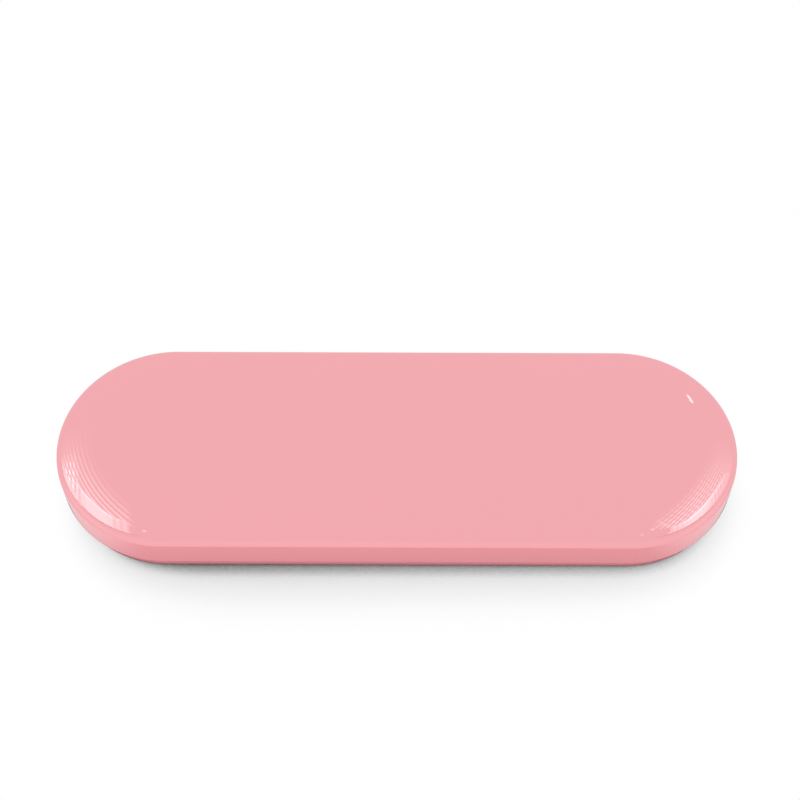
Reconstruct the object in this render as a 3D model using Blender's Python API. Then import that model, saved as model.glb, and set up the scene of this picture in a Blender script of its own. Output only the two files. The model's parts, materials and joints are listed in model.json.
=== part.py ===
# Hard pill-shaped case for tweezers: two lacquered shells on a pinned hinge, held shut by magnets.
# A tray with lanes and magnets lies in the base, and a framed mirror in the lid.
# Units are metres. X runs along the case, -Y is its front, the hinge is at +Y, the table is Z = 0.
# An inset is a distance drawn in from the lid's outline, seen from above.

import math

import bmesh
import bpy
from mathutils import Matrix, Vector

MM = 0.001

# Whole case
CASE_LENGTH = 180.0 * MM
CASE_WIDTH = 60.0 * MM
FIT_GAP = 0.3 * MM                # left between pieces that seat on each other

# Lid shell
LID_WALL = 1.6 * MM
LID_SIDE_HEIGHT = 8.45 * MM       # from the rim up to the edge radius
LID_EDGE_RADIUS = 2.0 * MM
LID_CROWN_RISE = 1.0 * MM         # the top swells by this much
LID_CROWN_REACH = 14.0 * MM       # and is flat this far inside the edge radius
LID_LIP_RADIUS = 0.4 * MM

# Base shell
BASE_WALL = 1.8 * MM              # at the rim
BASE_FLOOR = 2.0 * MM
BASE_OVERHANG = 1.0 * MM          # the lid stands out over the base by this much
BASE_SIDE_HEIGHT = 0.6 * MM
BASE_EDGE_RADIUS = 7.7 * MM       # the outside rolls under almost from the rim down
BASE_INNER_RADIUS = 4.5 * MM
BASE_RIM_RADIUS = 0.3 * MM

# Hinge, two stations along the back
HINGE_END_INSET = 52.0 * MM       # from the case's end to the middle of a station
HINGE_STANDOFF = 0.3 * MM         # from the base's back wall to the axis
KNUCKLE_RADIUS = 2.0 * MM
LID_KNUCKLE_LENGTH = 8.0 * MM
BASE_KNUCKLE_LENGTH = 6.0 * MM
GUSSET_HEIGHT = 4.0 * MM          # how far a knuckle's root runs along the wall
PIN_RADIUS = 0.8 * MM
PIN_CHAMFER = 0.2 * MM

# Tray
TRAY_THICKNESS = 1.0 * MM
TRAY_RIM_WIDTH = 4.4 * MM         # flat rim, from the base's inner wall to the lip
TRAY_LIP_RISE = 1.2 * MM          # the lip stands up into the lid by this much
TRAY_FLOOR_RADIUS = 2.0 * MM

# Lane dividers on the tray's floor
LANE_COUNT = 4
DIVIDER_END_INSET = 27.0 * MM     # from the case's end to a divider's end
DIVIDER_HEIGHT = 3.2 * MM
DIVIDER_FOOT_WIDTH = 1.8 * MM
DIVIDER_TOP_WIDTH = 1.1 * MM
DIVIDER_END_SLOPE = 9.0 * MM
FINGER_DIP_LENGTH = 24.0 * MM     # the dividers sink here, so that fingers reach the tweezers
FINGER_DIP_SLOPE = 8.0 * MM
FINGER_DIP_HEIGHT = 0.9 * MM

# Holding magnets under the lanes
HOLD_MAGNET_RADIUS = 4.0 * MM
HOLD_MAGNET_HEIGHT = 1.5 * MM
HOLD_MAGNET_END_INSET = 50.0 * MM
HOLD_MAGNET_STAGGER = 12.0 * MM   # between neighbouring lanes, so that the sockets pass each other
SOCKET_WALL = 0.7 * MM
MAGNET_CHAMFER = 0.2 * MM

# Closing magnets at the front
LATCH_MAGNET_LENGTH = 12.0 * MM
LATCH_MAGNET_WIDTH = 2.0 * MM
LATCH_MAGNET_HEIGHT = 1.5 * MM
LATCH_END_INSET = 55.0 * MM
LATCH_INSET = 4.8 * MM
POCKET_WALL = 0.8 * MM

# Liner in the lid
LINER_THICKNESS = 1.0 * MM
LINER_SKIRT_WALL = 0.8 * MM
LINER_SKIRT_HEIGHT = 2.8 * MM
LINER_FRAME_WIDTH = 2.0 * MM      # how far the frame reaches over the mirror's edge
LINER_CORNER_RADIUS = 0.8 * MM

# Mirror and its adhesive strips
MIRROR_THICKNESS = 1.5 * MM
MIRROR_CHAMFER = 0.25 * MM
TAPE_THICKNESS = 0.5 * MM
TAPE_LENGTH = 48.0 * MM
TAPE_WIDTH = 20.0 * MM
TAPE_END_INSET = 24.0 * MM

# Fineness of the round shapes
END_STEPS = 24                    # along each half-round end of the case
BARREL_STEPS = 20
DISC_STEPS = 18
BURIED = 0.2 * MM                 # how deep a fused shape is sunk in its carrier

# Heights
BASE_RIM_Z = BASE_EDGE_RADIUS + BASE_SIDE_HEIGHT
LID_RIM_Z = BASE_RIM_Z + FIT_GAP
LID_SIDE_TOP_Z = LID_RIM_Z + LID_SIDE_HEIGHT
CROWN_SLOPE = math.atan2(2.0 * LID_CROWN_RISE, LID_CROWN_REACH)
LID_TOP_Z = LID_SIDE_TOP_Z + LID_EDGE_RADIUS * math.cos(CROWN_SLOPE) + LID_CROWN_RISE
CEILING_Z = LID_TOP_Z - LID_WALL
BASE_FLOOR_Z = BASE_FLOOR
TRAY_UNDER_Z = BASE_FLOOR_Z + HOLD_MAGNET_HEIGHT + 2.0 * FIT_GAP
TRAY_FLOOR_Z = TRAY_UNDER_Z + TRAY_THICKNESS
TRAY_LIP_Z = LID_RIM_Z + TRAY_LIP_RISE
MIRROR_TOP_Z = CEILING_Z - TAPE_THICKNESS - 2.0 * FIT_GAP
FRAME_TOP_Z = MIRROR_TOP_Z - MIRROR_THICKNESS - FIT_GAP
FRAME_UNDER_Z = FRAME_TOP_Z - LINER_THICKNESS

# Insets
BASE_INNER_INSET = BASE_OVERHANG + BASE_WALL
TRAY_EDGE_INSET = BASE_INNER_INSET + FIT_GAP
LIP_INSET = TRAY_EDGE_INSET + TRAY_RIM_WIDTH
BASIN_INSET = LIP_INSET + TRAY_THICKNESS
LINER_EDGE_INSET = LID_WALL + FIT_GAP
LINER_MOUTH_INSET = LIP_INSET - FIT_GAP
WINDOW_INSET = LINER_MOUTH_INSET + LINER_FRAME_WIDTH
MIRROR_INSET = LINER_MOUTH_INSET

# Along the case
DIVIDER_END_X = CASE_LENGTH / 2.0 - DIVIDER_END_INSET
HOLD_MAGNET_X = CASE_LENGTH / 2.0 - HOLD_MAGNET_END_INSET
LATCH_X = CASE_LENGTH / 2.0 - LATCH_END_INSET
TAPE_X = CASE_LENGTH / 2.0 - TAPE_END_INSET - TAPE_LENGTH / 2.0

# Hinge axis
AXIS_Y = CASE_WIDTH / 2.0 - BASE_OVERHANG + HINGE_STANDOFF
AXIS_Z = (BASE_RIM_Z + LID_RIM_Z) / 2.0
SWING_RADIUS = KNUCKLE_RADIUS + FIT_GAP
BORE_RADIUS = PIN_RADIUS + FIT_GAP
BASE_KNUCKLE_START = LID_KNUCKLE_LENGTH / 2.0 + FIT_GAP
BASE_KNUCKLE_END = BASE_KNUCKLE_START + BASE_KNUCKLE_LENGTH
HINGE_XS = (HINGE_END_INSET - CASE_LENGTH / 2.0, CASE_LENGTH / 2.0 - HINGE_END_INSET)
SIDES = ("left", "right")


# Materials

def make_material(name, colour, roughness, metallic=0.0, coat=0.0):
    material = bpy.data.materials.new(name)
    material.use_nodes = True
    shader = material.node_tree.nodes["Principled BSDF"]
    shader.inputs["Base Color"].default_value = (*colour, 1.0)
    shader.inputs["Roughness"].default_value = roughness
    shader.inputs["Metallic"].default_value = metallic
    shader.inputs["Coat Weight"].default_value = coat
    material.diffuse_color = (*colour, 1.0)
    return material


# Mesh helpers

def arc(centre, radius, start_deg, end_deg, steps):
    # In a profile, 90 degrees points up, 180 points out of the case and 0 points inwards.
    points = []
    for step in range(steps + 1):
        angle = math.radians(start_deg + (end_deg - start_deg) * step / steps)
        points.append((centre[0] + radius * math.cos(angle), centre[1] + radius * math.sin(angle)))
    return points


def pill_outline(inset):
    # The pill drawn in by an inset, anticlockwise seen from above.
    centre_x = (CASE_LENGTH - CASE_WIDTH) / 2.0
    radius = CASE_WIDTH / 2.0 - inset
    points = []
    for side, start in ((1.0, -90.0), (-1.0, 90.0)):
        for step in range(END_STEPS + 1):
            angle = math.radians(start + 180.0 * step / END_STEPS)
            points.append((side * centre_x + radius * math.cos(angle), radius * math.sin(angle)))
    return points


def bridge(bm, ring_a, ring_b):
    count = len(ring_a)
    for index in range(count):
        after = (index + 1) % count
        bm.faces.new((ring_a[index], ring_a[after], ring_b[after], ring_b[index]))


def pill_sweep(bm, profile, closed=False):
    # Carry a profile of (inset, height) points round the pill. An open one is capped at both ends.
    rings = []
    for inset, height in profile:
        rings.append([bm.verts.new((x, y, height)) for x, y in pill_outline(inset)])
    for ring_a, ring_b in zip(rings, rings[1:]):
        bridge(bm, ring_a, ring_b)
    if closed:
        bridge(bm, rings[-1], rings[0])
    else:
        bm.faces.new(rings[0])
        bm.faces.new(rings[-1])


def turned(bm, profile, centre, axis="Z", steps=DISC_STEPS):
    # Turn a profile of (radius, distance along the axis) points. The ends are capped.
    rings = []
    for radius, along in profile:
        ring = []
        for step in range(steps):
            angle = 2.0 * math.pi * step / steps
            across = (radius * math.cos(angle), radius * math.sin(angle))
            offset = (along, *across) if axis == "X" else (*across, along)
            ring.append(bm.verts.new(Vector(centre) + Vector(offset)))
        rings.append(ring)
    for ring_a, ring_b in zip(rings, rings[1:]):
        bridge(bm, ring_a, ring_b)
    bm.faces.new(rings[0])
    bm.faces.new(rings[-1])


def block(bm, low, high, chamfer=0.0):
    size = Vector(high) - Vector(low)
    middle = (Vector(high) + Vector(low)) / 2.0
    place = Matrix.Translation(middle) @ Matrix.Diagonal((*size, 1.0))
    made = bmesh.ops.create_cube(bm, size=1.0, matrix=place)
    if chamfer > 0.0:
        edges = {edge for vert in made["verts"] for edge in vert.link_edges}
        bmesh.ops.bevel(bm, geom=list(edges), offset=chamfer, segments=1, affect="EDGES")


def extruded(bm, outline, start_x, end_x):
    # Run an outline of (y, z) points along X.
    ends = []
    for x in (start_x, end_x):
        ends.append([bm.verts.new((x, y, z)) for y, z in outline])
    bridge(bm, ends[0], ends[1])
    bm.faces.new(ends[0])
    bm.faces.new(ends[1])


def finish_mesh(name, bm, smooth_deg=30.0):
    bmesh.ops.recalc_face_normals(bm, faces=bm.faces)
    mesh = bpy.data.meshes.new(name)
    bm.to_mesh(mesh)
    bm.free()
    mesh.shade_smooth()
    mesh.set_sharp_from_angle(angle=math.radians(smooth_deg))
    return mesh


def add_piece(name, bm, material, carrier):
    # A piece keeps its place in the case while its parent empty lies on the axis it turns about.
    piece = bpy.data.objects.new(name, finish_mesh(name, bm))
    piece.data.materials.append(material)
    bpy.context.scene.collection.objects.link(piece)
    piece.parent = carrier
    piece.matrix_parent_inverse = Matrix.Translation(-carrier.location)
    return piece


def shape_with(piece, name, bm, operation):
    # Cut a shape out of a piece, or fuse it to the piece.
    tool = bpy.data.objects.new(name, finish_mesh(name, bm))
    bpy.context.scene.collection.objects.link(tool)
    tool.hide_render = True
    tool.display_type = "WIRE"
    change = piece.modifiers.new(name, "BOOLEAN")
    change.operation = operation
    change.solver = "EXACT"
    change.object = tool


# Shells

def crown_points(height_shift, steps):
    # The lid's top from its edge radius inwards: it rises at an even rate of change, then is flat.
    start = LID_EDGE_RADIUS * (1.0 - math.sin(CROWN_SLOPE))
    points = []
    for step in range(1, steps + 1):
        share = step / steps
        rise = LID_CROWN_RISE * (1.0 - (1.0 - share) ** 2)
        points.append((start + LID_CROWN_REACH * share, LID_TOP_Z - LID_CROWN_RISE + rise + height_shift))
    return points


def knuckle_outline(inner_y, outer_y, direction):
    # Barrel section with a root that runs up (1) or down (-1) the wall and meets the barrel tangent.
    reach = math.hypot(outer_y, GUSSET_HEIGHT)
    tangent = math.atan2(GUSSET_HEIGHT, outer_y) - math.acos(KNUCKLE_RADIUS / reach)
    last = math.acos(inner_y / KNUCKLE_RADIUS) - 2.0 * math.pi
    points = []
    for step in range(BARREL_STEPS + 1):
        angle = tangent + (last - tangent) * step / BARREL_STEPS
        points.append((KNUCKLE_RADIUS * math.cos(angle), KNUCKLE_RADIUS * math.sin(angle)))
    points += [(inner_y, GUSSET_HEIGHT), (outer_y, GUSSET_HEIGHT)]
    return [(AXIS_Y + y, AXIS_Z + direction * z) for y, z in points]


def pin_bores():
    bm = bmesh.new()
    reach = BASE_KNUCKLE_END + FIT_GAP
    for x in HINGE_XS:
        turned(bm, [(BORE_RADIUS, -reach), (BORE_RADIUS, reach)], (x, AXIS_Y, AXIS_Z), "X", DISC_STEPS)
    return bm


def swing_cuts(spans):
    # Room for the other shell's knuckles to turn in.
    bm = bmesh.new()
    for x in HINGE_XS:
        for start, end in spans:
            turned(bm, [(SWING_RADIUS, start), (SWING_RADIUS, end)], (x, AXIS_Y, AXIS_Z), "X", BARREL_STEPS)
    return bm


def base_recess(z):
    # How far the base's outside has rolled in from its widest line at a height.
    drop = max(BASE_EDGE_RADIUS - z, 0.0)
    return BASE_EDGE_RADIUS - math.sqrt(BASE_EDGE_RADIUS ** 2 - drop ** 2)


def build_base_shell(material, carrier):
    inner_centre = (BASE_INNER_INSET + BASE_INNER_RADIUS, BASE_FLOOR_Z + BASE_INNER_RADIUS)
    profile = arc(inner_centre, BASE_INNER_RADIUS, 270, 180, 6)
    profile.append((BASE_INNER_INSET, BASE_RIM_Z))
    rim_centre = (BASE_OVERHANG + BASE_RIM_RADIUS, BASE_RIM_Z - BASE_RIM_RADIUS)
    profile += arc(rim_centre, BASE_RIM_RADIUS, 90, 180, 2)
    centre = (BASE_OVERHANG + BASE_EDGE_RADIUS, BASE_EDGE_RADIUS)
    profile += arc(centre, BASE_EDGE_RADIUS, 180, 270, 9)
    bm = bmesh.new()
    pill_sweep(bm, profile)
    shell = add_piece("base_shell", bm, material, carrier)

    lid_span = LID_KNUCKLE_LENGTH / 2.0 + FIT_GAP
    shape_with(shell, "cut_base_swing", swing_cuts([(-lid_span, lid_span)]), "DIFFERENCE")
    wall_y = CASE_WIDTH / 2.0 - BASE_OVERHANG - AXIS_Y
    foot_y = wall_y - base_recess(AXIS_Z - GUSSET_HEIGHT) - BURIED
    outline = knuckle_outline(foot_y - BASE_WALL / 4.0, foot_y, -1.0)
    knuckles = bmesh.new()
    for x in HINGE_XS:
        for start, end in ((BASE_KNUCKLE_START, BASE_KNUCKLE_END), (-BASE_KNUCKLE_END, -BASE_KNUCKLE_START)):
            extruded(knuckles, outline, x + start, x + end)
    shape_with(shell, "base_knuckles", knuckles, "UNION")
    shape_with(shell, "cut_base_bores", pin_bores(), "DIFFERENCE")


def build_lid_shell(material, carrier):
    inner_radius = max(LID_EDGE_RADIUS - LID_WALL, LID_LIP_RADIUS)
    inner_top = LID_TOP_Z - LID_CROWN_RISE - LID_WALL
    profile = list(reversed(crown_points(-LID_WALL, 5)))
    profile += arc((LID_WALL + inner_radius, inner_top - inner_radius), inner_radius, 90, 180, 3)
    profile.append((LID_WALL, LID_RIM_Z))
    profile += arc((LID_LIP_RADIUS, LID_RIM_Z + LID_LIP_RADIUS), LID_LIP_RADIUS, 270, 180, 3)
    edge_centre = (LID_EDGE_RADIUS, LID_SIDE_TOP_Z)
    profile += arc(edge_centre, LID_EDGE_RADIUS, 180, 90 + math.degrees(CROWN_SLOPE), 6)
    profile += crown_points(0.0, 7)
    bm = bmesh.new()
    pill_sweep(bm, profile)
    shell = add_piece("lid_shell", bm, material, carrier)

    near = LID_KNUCKLE_LENGTH / 2.0
    far = BASE_KNUCKLE_END + FIT_GAP
    shape_with(shell, "cut_lid_swing", swing_cuts([(near, far), (-far, -near)]), "DIFFERENCE")
    wall_y = CASE_WIDTH / 2.0 - AXIS_Y
    outline = knuckle_outline(wall_y - LID_WALL / 2.0, wall_y - BURIED, 1.0)
    knuckles = bmesh.new()
    for x in HINGE_XS:
        extruded(knuckles, outline, x - near, x + near)
    shape_with(shell, "lid_knuckles", knuckles, "UNION")
    shape_with(shell, "cut_lid_bores", pin_bores(), "DIFFERENCE")


def build_hinge_pins(material, carrier):
    half = BASE_KNUCKLE_END - FIT_GAP
    profile = [(PIN_RADIUS - PIN_CHAMFER, -half), (PIN_RADIUS, PIN_CHAMFER - half),
               (PIN_RADIUS, half - PIN_CHAMFER), (PIN_RADIUS - PIN_CHAMFER, half)]
    for side, x in zip(SIDES, HINGE_XS):
        bm = bmesh.new()
        turned(bm, profile, (x, AXIS_Y, AXIS_Z), "X", DISC_STEPS)
        add_piece("hinge_pin_" + side, bm, material, carrier)


# Tray and its magnets

def divider_height(x):
    # Full height, sloping to nothing at both ends and sinking in the middle for the fingers.
    def ease(distance, length):
        share = min(max(distance / length, 0.0), 1.0)
        return share * share * (3.0 - 2.0 * share)
    end = ease(DIVIDER_END_X - abs(x), DIVIDER_END_SLOPE)
    out_of_dip = ease(abs(x) - FINGER_DIP_LENGTH / 2.0, FINGER_DIP_SLOPE)
    middle = FINGER_DIP_HEIGHT + (DIVIDER_HEIGHT - FINGER_DIP_HEIGHT) * out_of_dip
    return middle * end


def divider_stations():
    dip = FINGER_DIP_LENGTH / 2.0
    steps = 5
    out = [dip + FINGER_DIP_SLOPE * step / steps for step in range(steps + 1)]
    out += [DIVIDER_END_X - DIVIDER_END_SLOPE * (1.0 - step / steps) for step in range(steps + 1)]
    return [-x for x in reversed(out)] + out


def add_divider(bm, centre_y):
    # A tapered rib with a rounded top, lofted through its stations.
    rings = []
    foot = DIVIDER_FOOT_WIDTH / 2.0
    top = DIVIDER_TOP_WIDTH / 2.0
    for x in divider_stations():
        height = divider_height(x)
        shoulder = max(height - top, 0.0)
        flank = shoulder + (height - shoulder) * math.sin(math.radians(60))
        section = [(-foot, -BURIED), (foot, -BURIED), (foot, 0.0), (top, shoulder), (top / 2.0, flank),
                   (-top / 2.0, flank), (-top, shoulder), (-foot, 0.0)]
        rings.append([bm.verts.new((x, centre_y + y, TRAY_FLOOR_Z + z)) for y, z in section])
    for ring_a, ring_b in zip(rings, rings[1:]):
        bridge(bm, ring_a, ring_b)
    bm.faces.new(rings[0])
    bm.faces.new(rings[-1])


def lane_centres():
    pitch = (CASE_WIDTH - 2.0 * BASIN_INSET) / LANE_COUNT
    return [pitch * (lane - (LANE_COUNT - 1) / 2.0) for lane in range(LANE_COUNT)]


def latch_places():
    y = LATCH_INSET - CASE_WIDTH / 2.0
    return [(-LATCH_X, y), (LATCH_X, y)]


def pocket_shapes(floor_z, mouth_z, outer_inset, inner_inset):
    # The block that a pocket stands in and the room cut into it, for both closing magnets.
    # It opens away from the floor height, towards the mouth height.
    blocks = bmesh.new()
    rooms = bmesh.new()
    half_x = LATCH_MAGNET_LENGTH / 2.0 + FIT_GAP
    half_y = LATCH_MAGNET_WIDTH / 2.0 + FIT_GAP
    away = math.copysign(BURIED, mouth_z - floor_z)
    for x, y in latch_places():
        heights = sorted((floor_z - away, mouth_z))
        block(blocks, (x - half_x - POCKET_WALL, outer_inset - CASE_WIDTH / 2.0, heights[0]),
              (x + half_x + POCKET_WALL, inner_inset - CASE_WIDTH / 2.0, heights[1]))
        heights = sorted((floor_z, mouth_z + away))
        block(rooms, (x - half_x, y - half_y, heights[0]), (x + half_x, y + half_y, heights[1]))
    return blocks, rooms


def add_latch_magnets(prefix, low_z, material, carrier):
    half = Vector((LATCH_MAGNET_LENGTH, LATCH_MAGNET_WIDTH, LATCH_MAGNET_HEIGHT)) / 2.0
    for side, (x, y) in zip(SIDES, latch_places()):
        middle = Vector((x, y, low_z + half.z))
        bm = bmesh.new()
        block(bm, middle - half, middle + half, MAGNET_CHAMFER)
        add_piece(prefix + side, bm, material, carrier)


def build_tray(material, carrier):
    floor_centre = (BASIN_INSET + TRAY_FLOOR_RADIUS, TRAY_FLOOR_Z + TRAY_FLOOR_RADIUS)
    under_rim_z = BASE_RIM_Z - TRAY_THICKNESS
    profile = arc(floor_centre, TRAY_FLOOR_RADIUS + TRAY_THICKNESS, 270, 180, 3)
    profile += [(LIP_INSET, under_rim_z), (TRAY_EDGE_INSET, under_rim_z),
                (TRAY_EDGE_INSET, BASE_RIM_Z), (LIP_INSET, BASE_RIM_Z)]
    lip_radius = TRAY_THICKNESS / 2.0
    profile += arc((LIP_INSET + lip_radius, TRAY_LIP_Z - lip_radius), lip_radius, 180, 0, 4)
    profile += arc(floor_centre, TRAY_FLOOR_RADIUS, 180, 270, 4)
    bm = bmesh.new()
    pill_sweep(bm, profile)
    tray = add_piece("tray", bm, material, carrier)

    pitch = lane_centres()[1] - lane_centres()[0]
    dividers = bmesh.new()
    for centre_y in lane_centres()[:-1]:
        add_divider(dividers, centre_y + pitch / 2.0)
    shape_with(tray, "lane_dividers", dividers, "UNION")

    sockets = bmesh.new()
    rooms = bmesh.new()
    room_radius = HOLD_MAGNET_RADIUS + FIT_GAP
    foot_z = BASE_FLOOR_Z + FIT_GAP
    for x, y in hold_places():
        turned(sockets, [(room_radius + SOCKET_WALL, foot_z),
                         (room_radius + SOCKET_WALL, TRAY_UNDER_Z + BURIED)], (x, y, 0.0))
        turned(rooms, [(room_radius, foot_z - BURIED), (room_radius, TRAY_UNDER_Z)], (x, y, 0.0))
    shape_with(tray, "magnet_sockets", sockets, "UNION")
    shape_with(tray, "cut_magnet_sockets", rooms, "DIFFERENCE")

    mouth_z = under_rim_z - LATCH_MAGNET_HEIGHT - 2.0 * FIT_GAP
    blocks, rooms = pocket_shapes(under_rim_z, mouth_z, TRAY_EDGE_INSET + BURIED / 2.0, LIP_INSET + BURIED)
    shape_with(tray, "latch_pockets_base", blocks, "UNION")
    shape_with(tray, "cut_latch_pockets_base", rooms, "DIFFERENCE")


def hold_places():
    # Two in each lane. Every other lane has its pair nearer the ends.
    places = []
    for lane, y in enumerate(lane_centres()):
        x = HOLD_MAGNET_X + HOLD_MAGNET_STAGGER * (lane % 2 - 0.5)
        places += [(-x, y), (x, y)]
    return places


def build_hold_magnets(material, carrier):
    low = BASE_FLOOR_Z + FIT_GAP
    high = low + HOLD_MAGNET_HEIGHT
    profile = [(HOLD_MAGNET_RADIUS - MAGNET_CHAMFER, low), (HOLD_MAGNET_RADIUS, low + MAGNET_CHAMFER),
               (HOLD_MAGNET_RADIUS, high - MAGNET_CHAMFER), (HOLD_MAGNET_RADIUS - MAGNET_CHAMFER, high)]
    for number, (x, y) in enumerate(hold_places(), start=1):
        bm = bmesh.new()
        turned(bm, profile, (x, y, 0.0))
        add_piece("hold_magnet_" + str(number), bm, material, carrier)


# Liner, mirror and tape in the lid

def build_lid_liner(material, carrier):
    rim_top_z = LID_RIM_Z + LINER_THICKNESS
    skirt_top_z = LID_RIM_Z + LINER_SKIRT_HEIGHT
    skirt_inner = LINER_EDGE_INSET + LINER_SKIRT_WALL
    outer_face = LINER_MOUTH_INSET - LINER_THICKNESS
    corner = (LINER_MOUTH_INSET + LINER_CORNER_RADIUS, FRAME_UNDER_Z - LINER_CORNER_RADIUS)
    profile = [(LINER_EDGE_INSET, skirt_top_z), (LINER_EDGE_INSET, LID_RIM_Z),
               (LINER_MOUTH_INSET - BURIED, LID_RIM_Z), (LINER_MOUTH_INSET, LID_RIM_Z + BURIED)]
    profile += arc(corner, LINER_CORNER_RADIUS, 180, 90, 3)
    profile += [(WINDOW_INSET - BURIED, FRAME_UNDER_Z), (WINDOW_INSET, FRAME_UNDER_Z + BURIED),
                (WINDOW_INSET, FRAME_TOP_Z), (outer_face, FRAME_TOP_Z), (outer_face, rim_top_z),
                (skirt_inner, rim_top_z), (skirt_inner, skirt_top_z)]
    bm = bmesh.new()
    pill_sweep(bm, profile, closed=True)
    liner = add_piece("lid_liner", bm, material, carrier)

    mouth_z = rim_top_z + LATCH_MAGNET_HEIGHT + 2.0 * FIT_GAP
    blocks, rooms = pocket_shapes(rim_top_z, mouth_z, LINER_EDGE_INSET + BURIED, outer_face + BURIED)
    shape_with(liner, "latch_pockets_lid", blocks, "UNION")
    shape_with(liner, "cut_latch_pockets_lid", rooms, "DIFFERENCE")
    reach = BASE_KNUCKLE_END + FIT_GAP
    shape_with(liner, "cut_liner_swing", swing_cuts([(-reach, reach)]), "DIFFERENCE")


def build_mirror(material, carrier):
    low = MIRROR_TOP_Z - MIRROR_THICKNESS
    profile = [(MIRROR_INSET + MIRROR_CHAMFER, low), (MIRROR_INSET, low + MIRROR_CHAMFER),
               (MIRROR_INSET, MIRROR_TOP_Z - MIRROR_CHAMFER), (MIRROR_INSET + MIRROR_CHAMFER, MIRROR_TOP_Z)]
    bm = bmesh.new()
    pill_sweep(bm, profile)
    add_piece("mirror", bm, material, carrier)


def build_mirror_tapes(material, carrier):
    half = Vector((TAPE_LENGTH, TAPE_WIDTH, TAPE_THICKNESS)) / 2.0
    for side, direction in zip(SIDES, (-1.0, 1.0)):
        middle = Vector((direction * TAPE_X, 0.0, MIRROR_TOP_Z + FIT_GAP + half.z))
        bm = bmesh.new()
        block(bm, middle - half, middle + half)
        add_piece("mirror_tape_" + side, bm, material, carrier)


def add_empty(name, place, parent=None):
    empty = bpy.data.objects.new(name, None)
    empty.location = place
    empty.parent = parent
    bpy.context.scene.collection.objects.link(empty)
    return empty


def main():
    for old in list(bpy.data.objects):
        bpy.data.objects.remove(old, do_unlink=True)

    lacquer = make_material("lacquer", (0.85, 0.38, 0.41), 0.12, coat=1.0)
    flock = make_material("flock", (0.035, 0.032, 0.036), 0.95)
    liner_plastic = make_material("liner_plastic", (0.045, 0.04, 0.045), 0.6)
    steel = make_material("steel", (0.6, 0.6, 0.62), 0.3, metallic=1.0)
    nickel = make_material("nickel", (0.66, 0.64, 0.6), 0.22, metallic=1.0)
    silvering = make_material("silvering", (0.9, 0.91, 0.92), 0.02, metallic=1.0)
    foam_tape = make_material("foam_tape", (0.82, 0.82, 0.8), 0.8)

    base = add_empty("base_body", (0.0, 0.0, 0.0))
    lid = add_empty("lid_body", (0.0, AXIS_Y, AXIS_Z))

    build_base_shell(lacquer, base)
    build_tray(flock, base)
    build_hold_magnets(nickel, base)
    add_latch_magnets("base_latch_magnet_", BASE_RIM_Z - TRAY_THICKNESS - FIT_GAP - LATCH_MAGNET_HEIGHT,
                      nickel, base)
    build_hinge_pins(steel, base)

    build_lid_shell(lacquer, lid)
    build_lid_liner(liner_plastic, lid)
    add_latch_magnets("lid_latch_magnet_", LID_RIM_Z + LINER_THICKNESS + FIT_GAP, nickel, lid)
    build_mirror(silvering, lid)
    build_mirror_tapes(foam_tape, lid)


main()
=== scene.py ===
import json
import math

import bmesh
import bpy
from mathutils import Matrix, Vector


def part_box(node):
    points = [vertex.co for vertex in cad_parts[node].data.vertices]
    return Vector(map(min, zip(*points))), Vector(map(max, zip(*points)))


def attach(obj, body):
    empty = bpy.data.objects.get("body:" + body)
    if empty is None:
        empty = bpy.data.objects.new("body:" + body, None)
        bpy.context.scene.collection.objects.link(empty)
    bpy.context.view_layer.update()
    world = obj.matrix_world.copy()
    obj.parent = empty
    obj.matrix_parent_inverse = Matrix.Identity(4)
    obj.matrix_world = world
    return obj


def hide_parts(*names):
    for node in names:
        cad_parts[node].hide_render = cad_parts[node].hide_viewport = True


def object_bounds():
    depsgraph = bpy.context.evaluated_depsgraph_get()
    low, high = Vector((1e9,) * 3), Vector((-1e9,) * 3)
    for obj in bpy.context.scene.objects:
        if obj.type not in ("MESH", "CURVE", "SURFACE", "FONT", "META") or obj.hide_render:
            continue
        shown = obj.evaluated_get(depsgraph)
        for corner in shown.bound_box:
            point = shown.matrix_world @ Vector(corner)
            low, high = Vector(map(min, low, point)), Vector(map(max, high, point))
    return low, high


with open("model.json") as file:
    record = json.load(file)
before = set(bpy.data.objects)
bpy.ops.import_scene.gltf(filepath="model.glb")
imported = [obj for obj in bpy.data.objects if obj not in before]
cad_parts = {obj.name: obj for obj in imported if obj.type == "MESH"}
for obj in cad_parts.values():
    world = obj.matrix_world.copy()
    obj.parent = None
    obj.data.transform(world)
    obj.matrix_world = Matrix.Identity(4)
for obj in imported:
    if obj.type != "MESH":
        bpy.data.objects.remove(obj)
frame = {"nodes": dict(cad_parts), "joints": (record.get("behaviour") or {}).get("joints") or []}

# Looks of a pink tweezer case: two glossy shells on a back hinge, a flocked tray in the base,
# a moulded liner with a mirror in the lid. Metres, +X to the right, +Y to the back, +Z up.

mm = 0.001
tiny = 0.001 * mm        # points closer than this count as one
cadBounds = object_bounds()

lidLow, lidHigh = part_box("lid_shell")
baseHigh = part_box("base_shell")[1]
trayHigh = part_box("tray")[1]
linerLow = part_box("lid_liner")[0]
mirrorLow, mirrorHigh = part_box("mirror")
hinge = next(joint for joint in frame["joints"] if joint["name"] == "lid_hinge")
hingePoint = Vector(hinge["pos_m"])

# the whole pill, and the heights where its two halves meet
case = {
    "length": lidHigh.x - lidLow.x,
    "width": -2.0 * lidLow.y,
    "gap": 0.3 * mm,              # left between pieces
    "weld": 0.2 * mm,             # how far a joined shape runs into what carries it
    "lidRim": linerLow.z,
    "baseRim": 2.0 * hingePoint.z - linerLow.z,
}


# small helpers for node trees

def feedNode(tree, node, feeds):
    # a feed is a plain value or another node's output
    for socket, value in feeds.items():
        if isinstance(value, bpy.types.NodeSocket):
            tree.links.new(value, node.inputs[socket])
        else:
            node.inputs[socket].default_value = value


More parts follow.
